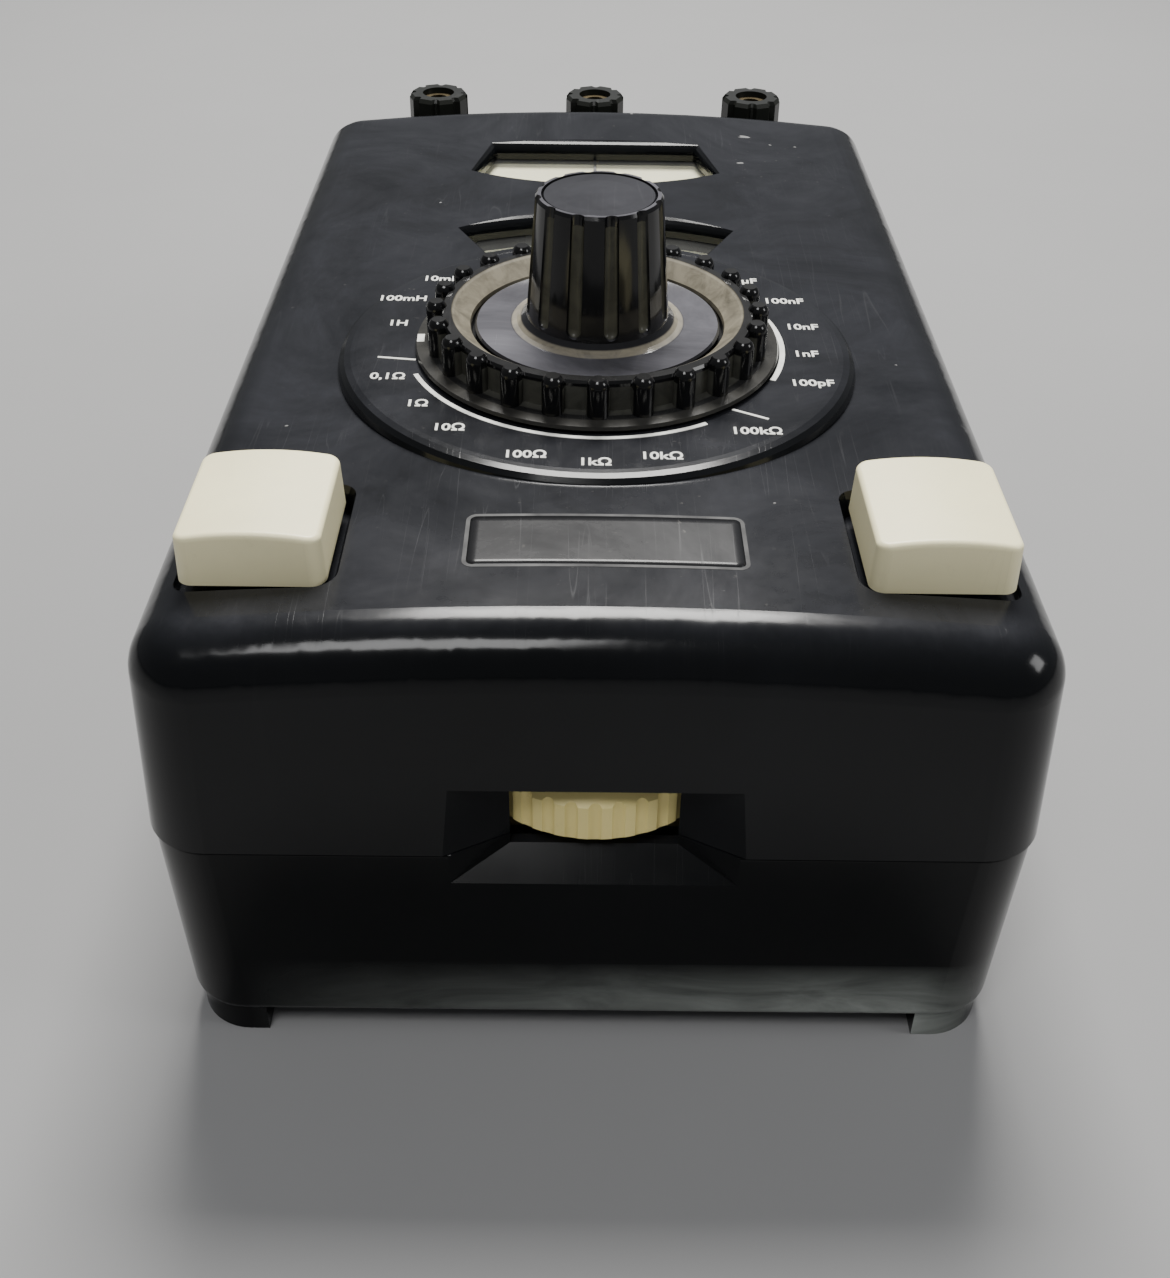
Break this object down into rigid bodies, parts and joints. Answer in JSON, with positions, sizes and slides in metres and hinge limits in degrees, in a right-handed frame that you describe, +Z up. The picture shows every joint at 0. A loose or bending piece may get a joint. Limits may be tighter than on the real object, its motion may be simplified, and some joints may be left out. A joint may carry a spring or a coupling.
{
  "type": "wheatstone bridge",
  "caption": "Portable measuring bridge in a black moulded case with a ribbed range ring, fluted balance knob, push buttons, thumbwheel, scale windows and screw terminals.",
  "frame": {"origin": "centre of the case in plan, on the plane its feet rest on", "axes": "+X to the right seen from the front, +Y towards the terminals at the rear, +Z up"},
  "size_m": [0.1208, 0.2156, 0.0984],
  "materials": {
    "phenolic_black": "gloss",
    "cream_plastic": "satin",
    "cream_card": "matte",
    "clear_pane": "clear",
    "brass": "satin",
    "steel": "satin",
    "aluminium": "satin",
    "laminate": "satin",
    "magnet": "matte",
    "wire_red": "satin",
    "ceramic": "satin",
    "wax": "satin",
    "battery_card": "matte"
  },
  "bodies": {
    "case": {"battery": "battery_card", "battery_clips": "brass", "battery_cover": "phenolic_black", "bush_nut": "brass", "button_guides": "ceramic", "case_screws": "steel", "chassis_plate": "aluminium", "chassis_screws": "steel", "component_board": "laminate", "contact_sets": "brass", "control_body": "laminate", "cover_screw": "steel", "lower_bush": "brass", "lower_shell": "phenolic_black", "meter_base": "aluminium", "meter_bridge": "steel", "meter_core": "steel", "meter_magnet": "magnet", "meter_pane": "clear_pane", "meter_scale": "cream_card", "panel_bush": "brass", "range_capacitors": "wax", "range_resistors": "ceramic", "scale_pane": "clear_pane", "slide_former": "laminate", "slide_winding": "aluminium", "spring_left": "steel", "spring_right": "steel", "switch_contacts": "brass", "switch_wafer": "laminate", "terminal_collars": "phenolic_black", "terminal_nuts": "brass", "terminal_posts": "brass", "upper_shell": "phenolic_black", "wafer_pillars": "steel", "wiring": "wire_red"},
    "range": {"range_ring": "phenolic_black", "selector_tube": "brass", "switch_rotor": "laminate"},
    "balance": {"balance_knob": "phenolic_black", "knob_cap": "phenolic_black", "balance_shaft": "brass", "scale_drum": "aluminium", "scale_ring": "cream_plastic", "wiper_arm": "laminate"},
    "needle": {"meter_needle": "aluminium", "moving_coil": "wax"},
    "button_left_body": {"button_left": "cream_plastic", "stem_left": "ceramic"},
    "button_right_body": {"button_right": "cream_plastic", "stem_right": "ceramic"},
    "thumbwheel_body": {"thumbwheel": "cream_plastic", "control_spindle": "brass"},
    "lift_left": {"washer_left": "brass"},
    "nut_left": {"terminal_left": "phenolic_black"},
    "lift_middle": {"washer_middle": "brass"},
    "nut_middle": {"terminal_middle": "phenolic_black"},
    "lift_right": {"washer_right": "brass"},
    "nut_right": {"terminal_right": "phenolic_black"}
  },
  "joints": [
    {"name": "range_turn", "type": "hinge", "parent": "case", "child": "range", "pos_m": [0, -0.0303, 0.078], "axis": [0, 0, 1], "range_deg": [-31, 234]},
    {"name": "balance_turn", "type": "hinge", "parent": "case", "child": "balance", "pos_m": [0, -0.0303, 0.078], "axis": [0, 0, 1], "range_deg": [-150, 150]},
    {"name": "needle_swing", "type": "hinge", "parent": "case", "child": "needle", "pos_m": [0, 0.074, 0.067], "axis": [0, 0, 1], "range_deg": [-28, 28], "stiffness_Nm_per_rad": 0.0002},
    {"name": "button_left_press", "type": "slide", "parent": "case", "child": "button_left_body", "axis": [0, 0, -1], "range_m": [0, 0.0024], "stiffness_N_per_m": 900, "springref_m": -0.002, "deforming": ["spring_left"]},
    {"name": "button_right_press", "type": "slide", "parent": "case", "child": "button_right_body", "axis": [0, 0, -1], "range_m": [0, 0.0024], "stiffness_N_per_m": 900, "springref_m": -0.002, "deforming": ["spring_right"]},
    {"name": "thumbwheel_turn", "type": "hinge", "parent": "case", "child": "thumbwheel_body", "pos_m": [0, -0.088, 0.043], "axis": [0, 0, 1], "range_deg": [-140, 140]},
    {"name": "terminal_left_lift", "type": "slide", "parent": "case", "child": "lift_left", "axis": [0, 0, 1], "range_m": [0, 0.0024]},
    {"name": "terminal_left_turn", "type": "hinge", "parent": "lift_left", "child": "nut_left", "pos_m": [-0.0358, 0.0995, 0.066], "axis": [0, 0, 1], "range_deg": [0, 1080.5]},
    {"name": "terminal_middle_lift", "type": "slide", "parent": "case", "child": "lift_middle", "axis": [0, 0, 1], "range_m": [0, 0.0024]},
    {"name": "terminal_middle_turn", "type": "hinge", "parent": "lift_middle", "child": "nut_middle", "pos_m": [0, 0.0995, 0.066], "axis": [0, 0, 1], "range_deg": [0, 1080.5]},
    {"name": "terminal_right_lift", "type": "slide", "parent": "case", "child": "lift_right", "axis": [0, 0, 1], "range_m": [0, 0.0024]},
    {"name": "terminal_right_turn", "type": "hinge", "parent": "lift_right", "child": "nut_right", "pos_m": [0.0358, 0.0995, 0.066], "axis": [0, 0, 1], "range_deg": [0, 1080.5]}
  ],
  "couplings": [
    {"joint": "terminal_left_turn", "follows": "terminal_left_lift", "rad_per_m": 7854},
    {"joint": "terminal_middle_turn", "follows": "terminal_middle_lift", "rad_per_m": 7854},
    {"joint": "terminal_right_turn", "follows": "terminal_right_lift", "rad_per_m": 7854}
  ]
}
